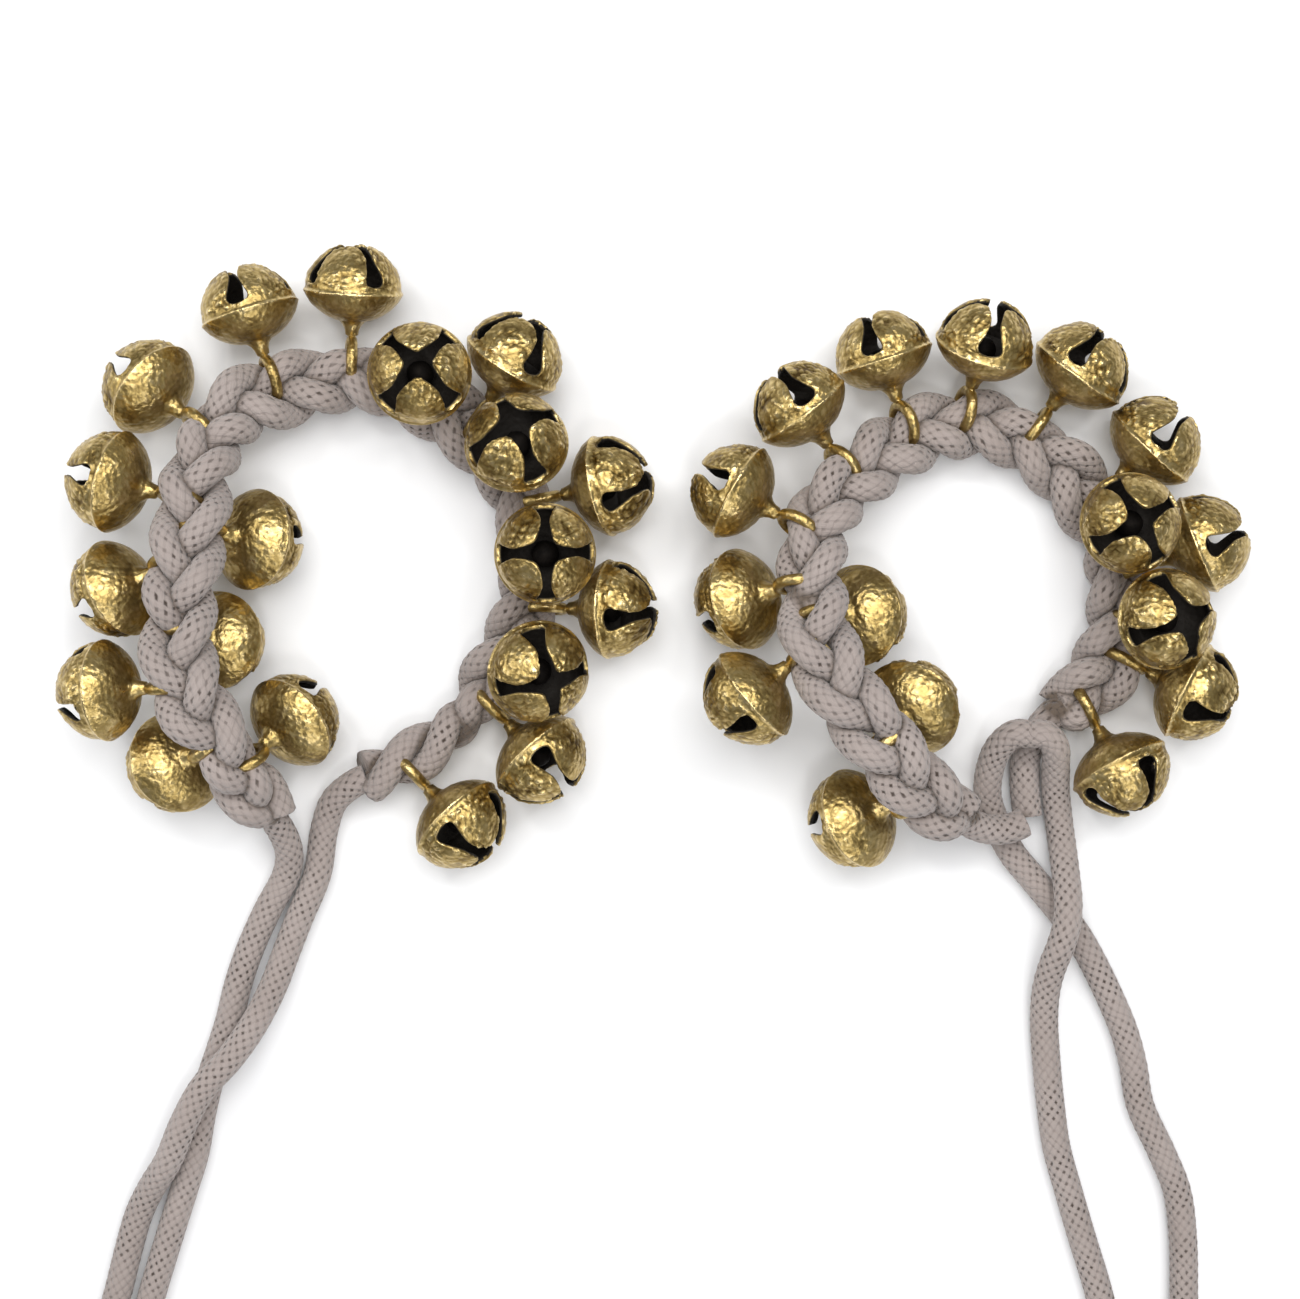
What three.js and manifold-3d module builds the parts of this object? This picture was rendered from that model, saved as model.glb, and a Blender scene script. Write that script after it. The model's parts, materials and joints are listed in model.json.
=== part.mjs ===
// A pair of ghungroo anklets: cast brass pellet bells hung by their eyes on plaited cotton cord.
// Millimetres, +Z up. The pair lies on a table at z = 0, the loops open upwards, the ties run towards -Y.
import * as THREE from 'three';
import { mergeVertices } from 'three/addons/utils/BufferGeometryUtils.js';
import Module from 'manifold-3d';

const wasm = await Module();
wasm.setup();

// Bell casting
const bellDiameter = 20.8;
const bellWall = 1.3;
const shankFlatness = 4.2;
const petalFlatness = 0.4;
const slotWidth = 3.4;
const slotEndWidth = 5;
const slotFoot = 2.4;
const bellSides = 8;
const petalBend = 42;
const shankBend = 45;

// Shank eye and the neck that carries it
const neckLength = 3;
const neckDiameter = 4.8;
const eyeWire = 2.2;
const eyeHole = 5.6;
const eyeRoot = 0.4;
const eyeSides = 8;
const wireSides = 4;

// Pellet
const pelletDiameter = 5.6;
const pelletClearance = 0.9;

// Cord and plait
const cordDiameter = 5.6;
const cordSides = 8;
const tieStep = 11.2;
const strandStep = 4.5;
const plaitDiameter = 13;
const plaitFlat = 0.6;
const strandGap = 0.3;
const eyeClearance = 0.3;
const plaitSides = 8;
const plaitSteps = 34;
const tableWidth = 520;

// Layout
const bellGap = 0.4;
const floorGap = 0.4;
const coilDiameter = 60;
const coilGap = 2.6;
const coilTurns = 1.05;
const coilSteps = 24;
const coilSides = 6;
const coilRow = -8.84;
const knotDiameter = 9.5;

// Derived sizes
const bellRadius = bellDiameter / 2;
const shankDepth = bellRadius - shankFlatness;
const petalHeight = bellRadius - petalFlatness;
const cordRadius = cordDiameter / 2;
const plaitRadius = plaitDiameter / 2;
const plaitHeight = plaitRadius - plaitFlat;
const eyeInner = eyeHole / 2;
const eyeOuter = eyeInner + eyeWire;
const eyeTop = shankDepth + neckLength;
const reach = eyeTop - eyeRoot + eyeOuter;
const pinRadius = eyeInner - eyeClearance;
const pinOffset = plaitRadius - (reach - eyeTop) + 3 * eyeClearance;
const bellPitch = bellDiameter + bellGap;
const cordLevel = cordRadius + floorGap;
const coilLine = coilRow * bellPitch;
const rad = THREE.MathUtils.degToRad;

const brass = new THREE.MeshStandardMaterial({ color: 0xc2a14e, roughness: 0.35, metalness: 1 });
const iron = new THREE.MeshStandardMaterial({ color: 0x4a443c, roughness: 0.6, metalness: 0.9 });
const cotton = new THREE.MeshStandardMaterial({ color: 0xcbbfc0, roughness: 0.95, metalness: 0 });

// Plait centre lines, in bell pitches: x, y and rise above the height at which the plait lies flat.
// They run clockwise, seen from above, from the lower left end of each loop.
const leftLoop = [
  [-3.66, -2.39, 0.33], [-3.86, -2.02, 0.69], [-4.09, -1.64, 0.91], [-4.29, -1.28, 0.99],
  [-4.39, -0.87, 1], [-4.37, -0.39, 0.96], [-4.32, 0.08, 0.88], [-4.27, 0.55, 0.76],
  [-4.23, 0.95, 0.6], [-4.09, 1.28, 0.43], [-3.85, 1.48, 0.29], [-3.53, 1.58, 0.17],
  [-3.2, 1.7, 0.07], [-2.87, 1.76, 0], [-2.43, 1.63, 0], [-1.9, 1.3, 0],
  [-1.45, 0.88, 0], [-1.21, 0.34, 0], [-1.19, -0.25, 0], [-1.32, -0.71, 0],
  [-1.53, -1.09, 0], [-1.81, -1.47, 0], [-2.15, -1.75, 0], [-2.47, -1.93, 0],
  [-2.77, -2.07, 0],
];
const rightLoop = [
  [2.79, -2.42, 0.38], [2.5, -2.26, 0.69], [2.22, -1.98, 0.87], [1.97, -1.64, 0.95],
  [1.7, -1.29, 0.97], [1.49, -0.87, 0.94], [1.38, -0.39, 0.85], [1.39, 0.1, 0.71],
  [1.57, 0.52, 0.54], [1.91, 0.83, 0.36], [2.25, 1.07, 0.2], [2.6, 1.25, 0.08],
  [2.98, 1.3, 0], [3.36, 1.21, 0], [3.7, 0.99, 0], [3.99, 0.66, 0],
  [4.22, 0.32, 0], [4.36, -0.05, 0], [4.41, -0.45, 0], [4.33, -0.85, 0],
  [4.13, -1.16, 0], [3.8, -1.43, 0],
];

// Bells in order along each plait: place along it in bell pitches, seat of the eye round the plait,
// swing of the bell's axis round the plait (0 outwards, 90 up, 180 inwards, 'lies' for one on the table),
// lean along the plait and roll of the slots, all in degrees. The last value marks a pellet that shows.
const leftBells = [
  [0.63, 222, 222, -13, 20, 0], [0.96, -48, -48, -13, 50, 0], [1.6, -17, -17, 12, 48, 0],
  [2.08, 254, 254, -2, 30, 0], [2.71, -31, -31, -21, 32, 0], [3.07, 232, 232, 8, 64, 0],
  [3.32, -8, -8, 11, 50, 0], [4.03, -13, -13, 20, 48, 0], [4.77, 10, 2, -4, 46, 0],
  [5.53, 30, 'lies', 5, 2, 1], [6.22, 55, 84, 0, 54, 1], [6.81, 30, 16, -6, 12, 1],
  [7.42, 55, 80, -17, 62, 1], [7.7, 15, 'lies', 9, 0, 1], [8.2, 55, 86, 1, 68, 1],
  [8.67, 15, 'lies', -13, 86, 1], [9.14, 55, 67, 3, 20, 1], [9.67, 30, 'lies', 10, 58, 0],
  [10.61, 15, 'lies', -17, 88, 0],
];
const rightBells = [
  [0.6, -44, -44, -3, 30, 0], [1.22, 236, 236, -2, 6, 0], [2.3, -15, -15, -20, 34, 0],
  [2.62, 235, 235, 2, 40, 0], [2.9, -42, -42, 1, 30, 0], [3.4, -6, -6, 14, 48, 0],
  [4.08, 10, 8, -2, 52, 1], [4.83, 15, 9, 10, 30, 0], [5.38, 40, 31, 11, 52, 1],
  [6.04, 20, 'lies', 5, 50, 0], [6.9, 17, 'lies', -11, 70, 0], [7.19, 62, 88, 1, 72, 1],
  [7.62, 15, 'lies', -10, 76, 0], [8.03, 45, 76, 1, 6, 1], [8.41, 15, 'lies', 1, 4, 1],
  [8.935, 20, 'lies', 10, 38, 0],
];

// Ties, from the plait's ends to the coils that their spare length lies in: x and y in bell pitches, z in mm
const leftTieA = [
  [-3.542, -2.651, 8.1], [-3.519, -2.82, 5.8], [-3.566, -3.018, 4.2], [-3.745, -3.349, 3.3],
  [-3.92, -3.74, 3.2], [-4.033, -4.08, 3.2], [-4.108, -4.391, 3.2], [-4.203, -4.693, 3.2],
  [-4.297, -4.976, 3.2], [-4.373, -5.297, 3.2], [-4.439, -5.674, 3.2], [-4.542, -6.014, 3.2],
  [-4.637, -6.316, 3.2], [-4.741, -6.655, 3.2], [-4.844, -7, 3.2], [-4.976, -7.518, 3.2],
  [-5.047, -8.085, 3.2],
];
const leftTieB = [
  [-3.099, -2.302, 4.9], [-3.203, -2.585, 3.5], [-3.269, -3, 3.2], [-3.443, -3.429, 3.2],
  [-3.561, -3.74, 3.6], [-3.684, -4.08, 5], [-3.844, -4.41, 7.4], [-4.052, -4.712, 9.2],
  [-4.307, -4.995, 9.7], [-4.486, -5.316, 9.5], [-4.656, -5.702, 7.8], [-4.844, -5.995, 5],
  [-4.976, -6.259, 3.5], [-5.08, -6.618, 3.2], [-5.175, -7, 3.2], [-5.321, -7.518, 3.2],
  [-5.401, -8.085, 3.2],
];
// The right ties are the two halves of one doubled cord, which meet at the top of its slip loop
const rightTieA = [
  [3.472, -1.651, 11.4], [3.344, -1.651, 11.1], [3.212, -1.773, 9], [3.146, -1.976, 6],
  [3.137, -2.259, 3.6], [3.231, -2.542, 3.2], [3.38, -2.816, 3.2], [3.558, -3.031, 3.2],
  [3.715, -3.22, 3.2], [3.86, -3.4, 3.2], [4.005, -3.6, 3.2], [4.162, -3.88, 3.2],
  [4.313, -4.195, 3.2], [4.44, -4.5, 3.2], [4.524, -4.806, 3.2], [4.599, -5.221, 3.2],
  [4.797, -5.655, 3.2], [4.948, -6.033, 3.2], [5.005, -6.485, 3.2], [5.014, -7, 3.2],
  [5.009, -7.518, 3.2], [5, -8.085, 3.2],
];
const rightTieB = [
  [3.491, -1.651, 11.4], [3.613, -1.655, 11.7], [3.722, -1.764, 10.5], [3.759, -1.952, 7.2],
  [3.778, -2.188, 4.5], [3.815, -2.5, 3.8], [3.842, -2.78, 5.2], [3.855, -3.02, 7.4],
  [3.86, -3.25, 9.4], [3.842, -3.46, 9.7], [3.79, -3.67, 8.7], [3.73, -3.87, 6.7],
  [3.69, -4.08, 4.8], [3.677, -4.372, 3.4], [3.703, -4.825, 3.2], [3.741, -5.221, 3.2],
  [3.797, -5.618, 3.2], [3.91, -6.033, 3.2], [4.042, -6.485, 3.2], [4.198, -7, 3.2],
  [4.307, -7.518, 3.2], [4.34, -8.085, 3.2],
];
// Single strands that run on from the right plait's two ends, over and under the slip loop
const rightHookStrand = [
  [3.028, -2.537, 10.4], [3.175, -2.561, 9.6], [3.325, -2.542, 9.3], [3.443, -2.49, 9],
];
const rightEndStrand = [
  [3.585, -1.679, 4], [3.509, -1.858, 3.2], [3.491, -2.141, 3.2], [3.519, -2.452, 3.2],
];

// Turns a closed geometry into a solid that can be cut and joined
function solidOf(geometry) {
  const shape = geometry.clone();
  shape.deleteAttribute('normal');
  shape.deleteAttribute('uv');
  const merged = mergeVertices(shape, 1e-4);
  const triVerts = new Uint32Array(merged.index.array);
  const vertProperties = new Float32Array(merged.attributes.position.array);
  return new wasm.Manifold(new wasm.Mesh({ numProp: 3, vertProperties, triVerts }));
}

function geometryOf(solid) {
  const mesh = solid.getMesh();
  const geometry = new THREE.BufferGeometry();
  geometry.setAttribute('position', new THREE.BufferAttribute(new Float32Array(mesh.vertProperties), 3));
  geometry.setIndex(new THREE.BufferAttribute(new Uint32Array(mesh.triVerts), 1));
  geometry.computeVertexNormals();
  return geometry;
}

function roundSection(radius, sides) {
  const corners = [];
  for (let i = 0; i < sides; i += 1) {
    const angle = ((i + 0.5) * 2 * Math.PI) / sides;
    corners.push(new THREE.Vector2(radius * Math.cos(angle), radius * Math.sin(angle)));
  }
  return new THREE.Shape(corners);
}

function tubeAlong(points, radius, sides, steps) {
  const extrudePath = new THREE.CatmullRomCurve3(points);
  return new THREE.ExtrudeGeometry(roundSection(radius, sides), { steps, extrudePath });
}

// Bell shell: half ellipses above and below the ridge, hollow, drawn out to the neck of the eye
function bellShell() {
  const arc = (radius, height, angle) =>
    new THREE.Vector2(radius * Math.cos(rad(angle)), height * Math.sin(rad(angle)));
  const hollow = bellRadius - bellWall;
  const profile = [
    new THREE.Vector2(0, -eyeTop - eyeWire / 2),
    new THREE.Vector2(neckDiameter / 2, -shankDepth),
    arc(bellRadius, -shankDepth, shankBend),
    arc(bellRadius, 0, 0),
    arc(bellRadius, petalHeight, petalBend),
    new THREE.Vector2(0, petalHeight),
    new THREE.Vector2(0, petalHeight - bellWall),
    arc(hollow, petalHeight - bellWall, petalBend),
    arc(hollow, 0, 0),
    arc(hollow, bellWall - shankDepth, shankBend),
    new THREE.Vector2(0, bellWall - shankDepth),
  ];
  const lathe = new THREE.LatheGeometry(profile, bellSides);
  lathe.rotateX(Math.PI / 2);
  return lathe;
}

// Four slots in a cross, each widening from the mouth to its foot above the ridge
function slotCutter() {
  const far = bellRadius + bellWall;
  const corners = [];
  for (let arm = 0; arm < 4; arm += 1) {
    const turn = (arm * Math.PI) / 2;
    const centre = new THREE.Vector2();
    const near = slotWidth / 2;
    corners.push(new THREE.Vector2(near, -near).rotateAround(centre, turn));
    corners.push(new THREE.Vector2(far, -slotEndWidth / 2).rotateAround(centre, turn));
    corners.push(new THREE.Vector2(far, slotEndWidth / 2).rotateAround(centre, turn));
  }
  const depth = petalHeight - slotFoot + bellWall;
  const cutter = new THREE.ExtrudeGeometry(new THREE.Shape(corners), { depth, bevelEnabled: false });
  cutter.translate(0, 0, slotFoot);
  cutter.rotateZ(Math.PI / bellSides);
  return cutter;
}

const shell = geometryOf(solidOf(bellShell()).subtract(solidOf(slotCutter())));

// One casting: shell turned to its roll, eye ring across the hinge axis, which is the bell's own X
function bellCasting(roll) {
  const turned = shell.clone().rotateZ(rad(roll));
  const eye = new THREE.TorusGeometry(eyeInner + eyeWire / 2, eyeWire / 2, wireSides, eyeSides);
  eye.rotateY(Math.PI / 2);
  eye.translate(0, 0, -reach);
  return geometryOf(solidOf(turned).add(solidOf(eye)));
}

// Groove round the strand that a bell's eye turns in, with room for the eye's corners between its own
function eyeGroove() {
  const half = eyeWire / 2 + eyeClearance;
  const outer = (eyeOuter + eyeClearance) / Math.cos(Math.PI / eyeSides);
  const profile = [
    new THREE.Vector2(pinRadius, -half),
    new THREE.Vector2(outer, -half),
    new THREE.Vector2(outer, half),
    new THREE.Vector2(pinRadius, half),
    new THREE.Vector2(pinRadius, -half),
  ];
  const groove = new THREE.LatheGeometry(profile, eyeSides);
  groove.rotateZ(-Math.PI / 2);
  return groove;
}

function loopCurve(points) {
  const place = ([x, y, rise]) =>
    new THREE.Vector3(x * bellPitch, y * bellPitch, plaitHeight + rise * bellPitch);
  return new THREE.CatmullRomCurve3(points.map(place));
}

// Swing at which a bell's ridge comes down to the table
function lyingSwing(pinHeight, lean) {
  const slope = Math.atan2(bellRadius, reach);
  const drop = (floorGap - pinHeight) / Math.hypot(bellRadius, reach);
  const rise = slope + Math.asin(drop);
  return THREE.MathUtils.radToDeg(Math.asin(Math.sin(rise) / Math.cos(rad(lean))));
}

// Where a bell sits: its eye's centre, its axis and its hinge axis, as a matrix from the bell's own frame
function bellPose(curve, [along, seat, swing, lean]) {
  const part = (along * bellPitch) / curve.getLength();
  const centre = curve.getPointAt(part);
  const tangent = curve.getTangentAt(part);
  const outward = new THREE.Vector3(0, 0, 1).cross(tangent).normalize();
  const upward = new THREE.Vector3().crossVectors(tangent, outward);
  const round = (angle) =>
    outward.clone().multiplyScalar(Math.cos(rad(angle))).addScaledVector(upward, Math.sin(rad(angle)));
  const pin = centre.clone().addScaledVector(round(seat), pinOffset);
  const angle = swing === 'lies' ? lyingSwing(pin.z, lean) : swing;
  const axis = round(angle).multiplyScalar(Math.cos(rad(lean))).addScaledVector(tangent, Math.sin(rad(lean)));
  const hinge = tangent.clone().addScaledVector(axis, -tangent.dot(axis)).normalize();
  const side = new THREE.Vector3().crossVectors(axis, hinge);
  const frame = new THREE.Matrix4().makeBasis(hinge, side, axis);
  const bellCentre = pin.clone().addScaledVector(axis, reach);
  return { pin, bellCentre, frame };
}

// Plait with a groove for every eye, cut flat where it lies on the table
function plait(curve, poses) {
  const section = roundSection(plaitRadius, plaitSides);
  let solid = solidOf(new THREE.ExtrudeGeometry(section, { steps: plaitSteps, extrudePath: curve }));
  for (const { pin, frame } of poses) {
    const groove = eyeGroove().applyMatrix4(frame.clone().setPosition(pin));
    solid = solid.subtract(solidOf(groove));
  }
  const table = new THREE.BoxGeometry(tableWidth, tableWidth, plaitDiameter);
  table.translate(0, 0, -plaitDiameter / 2);
  return geometryOf(solid.subtract(solidOf(table)));
}

// Least gap between stretches of one cord that lie at least four diameters apart along it
function leastGap(points) {
  let least = Infinity;
  for (let i = 0; i < points.length; i += 1) {
    for (let j = 0; j < i; j += 1) {
      const apart = ((i - j) * Math.PI * coilDiameter) / coilSteps;
      const gap = points[i].distanceTo(points[j]) - cordDiameter;
      if (apart > 4 * cordDiameter) least = Math.min(least, gap);
    }
  }
  return least;
}

// Spare length of a tie: a flat spiral wound inwards, ended by a knot. Spin is 1 for anticlockwise.
function coil(name, entry, spin) {
  const radius = coilDiameter / 2;
  const pitch = cordDiameter + coilGap;
  const turns = Math.round(coilTurns * coilSteps);
  const points = [new THREE.Vector3(entry, coilLine + cordDiameter, cordLevel)];
  for (let i = 0; i <= turns; i += 1) {
    const turned = (i / coilSteps) * 2 * Math.PI;
    const angle = spin > 0 ? Math.PI + turned : -turned;
    const span = radius - (pitch * i) / coilSteps;
    const x = entry + spin * radius + span * Math.cos(angle);
    points.push(new THREE.Vector3(x, coilLine + span * Math.sin(angle), cordLevel));
  }
  console.log(`${name} least gap to itself ${leastGap(points).toFixed(2)} mm`);
  const tube = tubeAlong(points, cordRadius, coilSides, points.length - 1);
  const knot = new THREE.IcosahedronGeometry(knotDiameter / 2, 0);
  const end = points[points.length - 1];
  knot.translate(end.x, end.y, knotDiameter / 2 + floorGap);
  piece(name, geometryOf(solidOf(tube).add(solidOf(knot))), cotton);
}

function strand(name, points, step) {
  const length = new THREE.CatmullRomCurve3(points).getLength();
  piece(name, tubeAlong(points, cordRadius, cordSides, Math.round(length / step)), cotton);
}

const placed = (route) => route.map(([x, y, z]) => new THREE.Vector3(x * bellPitch, y * bellPitch, z));

// First points of a strand that comes straight out of a plait's end
function leadOut(curve, end) {
  const out = curve.getTangentAt(end).multiplyScalar(end === 0 ? -1 : 1);
  const start = curve.getPointAt(end).addScaledVector(out, strandGap);
  return [start, start.clone().addScaledVector(out, cordRadius)];
}

// A tie runs free along its route and ends where its coil begins
function tie(side, letter, points, spin) {
  const entry = points[points.length - 1].x;
  const end = new THREE.Vector3(entry, coilLine + cordDiameter + strandGap, cordLevel);
  strand(`${side}_tie_${letter}`, [...points, end], tieStep);
  coil(`${side}_coil_${letter}`, entry, spin);
}

const anklets = new THREE.Group();

function piece(name, geometry, material) {
  const mesh = new THREE.Mesh(geometry, material);
  mesh.name = name;
  anklets.add(mesh);
  return mesh;
}

// A pellet lies at the lowest point of its bell's hollow
function addPellet(name, pose) {
  const room = pelletDiameter / 2 + pelletClearance;
  const aside = (bellRadius - bellWall) * Math.cos(Math.PI / bellSides) - room;
  const below = shankDepth - bellWall - room;
  const upright = new THREE.Vector3().setFromMatrixColumn(pose.frame, 2).z;
  const drop = 1 / Math.hypot(Math.sqrt(1 - upright ** 2) / aside, upright / below);
  const ball = piece(name, new THREE.IcosahedronGeometry(pelletDiameter / 2, 0), iron);
  ball.position.copy(pose.bellCentre);
  ball.position.z -= drop;
}

function anklet(side, curve, bells) {
  const poses = bells.map((bell) => bellPose(curve, bell));
  piece(`${side}_plait`, plait(curve, poses), cotton);
  bells.forEach((bell, i) => {
    const number = String(i + 1).padStart(2, '0');
    const roll = bell[4];
    const casting = piece(`${side}_bell_${number}`, bellCasting(roll), brass);
    casting.quaternion.setFromRotationMatrix(poses[i].frame);
    casting.position.copy(poses[i].bellCentre);
    const showsPellet = bell[5];
    if (showsPellet) addPellet(`${side}_pellet_${number}`, poses[i]);
  });
}

const leftCurve = loopCurve(leftLoop);
const rightCurve = loopCurve(rightLoop);

anklet('left', leftCurve, leftBells);
tie('left', 'a', [...leadOut(leftCurve, 0), ...placed(leftTieA)], 1);
tie('left', 'b', [...leadOut(leftCurve, 1), ...placed(leftTieB)], -1);

anklet('right', rightCurve, rightBells);
tie('right', 'a', placed(rightTieA), 1);
tie('right', 'b', placed(rightTieB), -1);
strand('right_hook_strand', [...leadOut(rightCurve, 0), ...placed(rightHookStrand)], strandStep);
strand('right_end_strand', [...leadOut(rightCurve, 1), ...placed(rightEndStrand)], strandStep);

export default anklets;
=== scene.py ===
# Pair of ghungroo anklets: brass pellet bells on plaited cotton cord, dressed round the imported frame.
import json
import math

import bmesh
import bpy
import numpy as np
from mathutils import Matrix, Vector, kdtree, noise

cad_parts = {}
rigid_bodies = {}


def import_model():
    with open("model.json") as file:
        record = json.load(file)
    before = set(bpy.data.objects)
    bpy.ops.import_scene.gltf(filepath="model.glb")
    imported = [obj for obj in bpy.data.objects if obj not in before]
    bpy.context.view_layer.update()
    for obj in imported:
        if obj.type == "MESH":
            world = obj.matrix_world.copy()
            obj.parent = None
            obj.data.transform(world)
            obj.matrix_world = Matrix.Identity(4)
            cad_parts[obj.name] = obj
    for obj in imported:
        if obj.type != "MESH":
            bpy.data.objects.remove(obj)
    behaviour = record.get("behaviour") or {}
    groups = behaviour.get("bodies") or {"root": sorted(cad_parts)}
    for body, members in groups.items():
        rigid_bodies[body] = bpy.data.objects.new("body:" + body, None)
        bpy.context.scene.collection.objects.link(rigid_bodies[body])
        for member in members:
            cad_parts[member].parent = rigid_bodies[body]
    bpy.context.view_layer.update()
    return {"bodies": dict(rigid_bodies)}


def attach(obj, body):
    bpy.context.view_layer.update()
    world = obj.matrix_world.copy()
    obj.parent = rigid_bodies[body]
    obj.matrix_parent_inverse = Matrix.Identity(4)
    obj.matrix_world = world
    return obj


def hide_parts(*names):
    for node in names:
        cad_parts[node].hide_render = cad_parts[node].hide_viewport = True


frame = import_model()
scene = bpy.context.scene
mm = 0.001
up = np.array((0.0, 0.0, 1.0))

# camera straight above the pair, as in the photograph
view = {"over": (-0.0019, -0.0182), "height": 0.49, "lens": 66.5}
cameraData = bpy.data.cameras.new("topCamera")
cameraData.lens = view["lens"]
cameraData.sensor_width = 36
cameraData.clip_end = 20
camera = bpy.data.objects.new("topCamera", cameraData)
camera.location = (*view["over"], view["height"])
scene.collection.objects.link(camera)
scene.camera = camera
print("camera set")


# node helpers
def newMaterial(name):
    material = bpy.data.materials.new(name)
    material.use_nodes = True
    tree = material.node_tree
    return material, tree, tree.nodes["Principled BSDF"]


def addNode(tree, kind, inputs=(), **settings):
    node = tree.nodes.new(kind)
    for key, value in settings.items():
        setattr(node, key, value)
    for socket, value in inputs:
        if isinstance(value, bpy.types.NodeSocket):
            tree.links.new(value, node.inputs[socket])
        else:
            node.inputs[socket].default_value = value
    return node


def mathNode(tree, operation, first, second=0.0, third=0.0):
    inputs = [(0, first), (1, second), (2, third)]
    return addNode(tree, "ShaderNodeMath", inputs, operation=operation).outputs[0]


def rampNode(tree, factor, stops):
    node = addNode(tree, "ShaderNodeValToRGB", [(0, factor)])
    ramp = node.color_ramp
    while len(ramp.elements) < len(stops):
        ramp.elements.new(0.5)
    for element, (place, colour) in zip(ramp.elements, stops):
        element.position = place
        element.color = (*colour, 1)
    return node.outputs[0]


def mixColour(tree, factor, first, second):
    node = addNode(tree, "ShaderNodeMix", data_type="RGBA")
    for socket, value in ((node.inputs[0], factor), (node.inputs[6], first), (node.inputs[7], second)):
        if isinstance(value, bpy.types.NodeSocket):
            tree.links.new(value, socket)
        else:
            socket.default_value = value if socket is node.inputs[0] else (*value, 1)
    return node.outputs[2]


# braided cotton: yarns cross in a diamond lattice on the cord's own UV, u in mm along, v round it
cotton = {
    "yarns": 9,
    "pitch": 2.2,
    "light": (0.375, 0.322, 0.297),
    "shade": (0.26, 0.215, 0.192),
    # painted shade for the holes where the yarns cross
    "gap": (0.05, 0.034, 0.025),
    # painted shade: dark colour for the creases where strands press together
    "creaseShade": (0.075, 0.05, 0.03),
    "relief": 0.2,
}


def cottonMaterial():
    material, tree, shader = newMaterial("braidedCotton")
    uv = addNode(tree, "ShaderNodeUVMap", uv_map="cordUv").outputs[0]
    split = addNode(tree, "ShaderNodeSeparateXYZ", [(0, uv)])
    along, around = split.outputs[0], split.outputs[1]
    place = addNode(tree, "ShaderNodeTexCoord").outputs["Object"]
    wander = addNode(tree, "ShaderNodeTexNoise", [("Vector", place), ("Scale", 420.0), ("Detail", 2.0)])
    shift = mathNode(tree, "MULTIPLY_ADD", wander.outputs["Fac"], 0.5, -0.25)
    run = mathNode(tree, "MULTIPLY_ADD", along, 1 / cotton["pitch"], shift)
    turn = mathNode(tree, "MULTIPLY_ADD", around, float(cotton["yarns"]), shift)
    right = mathNode(tree, "ADD", turn, run)
    left = mathNode(tree, "SUBTRACT", turn, run)
    edges = []
    for lay in (right, left):
        part = mathNode(tree, "FRACT", lay)
        edges.append(mathNode(tree, "ABSOLUTE", mathNode(tree, "MULTIPLY_ADD", part, 2.0, -1.0)))
    corner = mathNode(tree, "MINIMUM", *edges)
    edge = mathNode(tree, "MAXIMUM", *edges)
    cells = mathNode(tree, "ADD", mathNode(tree, "FLOOR", right), mathNode(tree, "FLOOR", left))
    over = mathNode(tree, "FLOORED_MODULO", cells, 2.0)
    onTop = mathNode(tree, "GREATER_THAN", over, 0.5)
    pick = addNode(tree, "ShaderNodeMix", [(0, onTop), (2, right), (3, left)]).outputs[0]
    fibre = mathNode(tree, "SINE", mathNode(tree, "MULTIPLY", pick, 4 * math.tau))
    patchy = addNode(tree, "ShaderNodeTexNoise", [("Vector", place), ("Scale", 160.0), ("Detail", 3.0)])
    fade = [(0, patchy.outputs["Fac"]), (1, 0.36), (2, 0.62), (3, 0.15), (4, 1.0)]
    depth = addNode(tree, "ShaderNodeMapRange", fade).outputs[0]
    # painted shade: the holes where the yarns cross are painted near black, fainter in patches
    holeMask = addNode(tree, "ShaderNodeMapRange", [(0, corner), (1, 0.48), (2, 0.78)]).outputs[0]
    holeMask = mathNode(tree, "MULTIPLY", holeMask, depth)
    cloud = addNode(tree, "ShaderNodeTexNoise", [("Vector", place), ("Scale", 70.0), ("Detail", 4.0)])
    base = mixColour(tree, cloud.outputs["Fac"], cotton["shade"], cotton["light"])
    # painted shade: yarns darken towards their edges, in the grooves between them
    grooveShade = mathNode(tree, "MULTIPLY", mathNode(tree, "POWER", edge, 6.0), 0.35)
    base = mixColour(tree, grooveShade, base, cotton["shade"])
    # painted shade: strands darken where they press between their neighbours
    creaseShade = addNode(tree, "ShaderNodeAttribute", attribute_name="creaseShade").outputs["Fac"]
    base = mixColour(tree, mathNode(tree, "MULTIPLY", creaseShade, 0.85), base, cotton["creaseShade"])
    tree.links.new(mixColour(tree, holeMask, base, cotton["gap"]), shader.inputs["Base Color"])
    height = mathNode(tree, "SUBTRACT", 1.0, mathNode(tree, "POWER", edge, 3.0))
    height = mathNode(tree, "MULTIPLY_ADD", fibre, 0.12, height)
    height = mathNode(tree, "MULTIPLY_ADD", holeMask, -1.2, height)
    bump = addNode(tree, "ShaderNodeBump", [("Height", height), ("Strength", 0.55), ("Distance", 0.0003)])
    tree.links.new(bump.outputs[0], shader.inputs["Normal"])
    shader.inputs["Roughness"].default_value = 0.92
    shader.inputs["Sheen Weight"].default_value = 0.25
    shader.inputs["Sheen Roughness"].default_value = 0.6
    shader.inputs["Specular IOR Level"].default_value = 0.2
    return material


# cast brass: painted highlight on the pebble tops, painted shade between them and painted shade inside
brass = {
    "pebbleHighlight": (0.64, 0.495, 0.235),
    "body": (0.4, 0.288, 0.104),
    "hollow": (0.09, 0.052, 0.012),
    # painted shade inside the bell
    "inside": (0.012, 0.008, 0.004),
}


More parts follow.
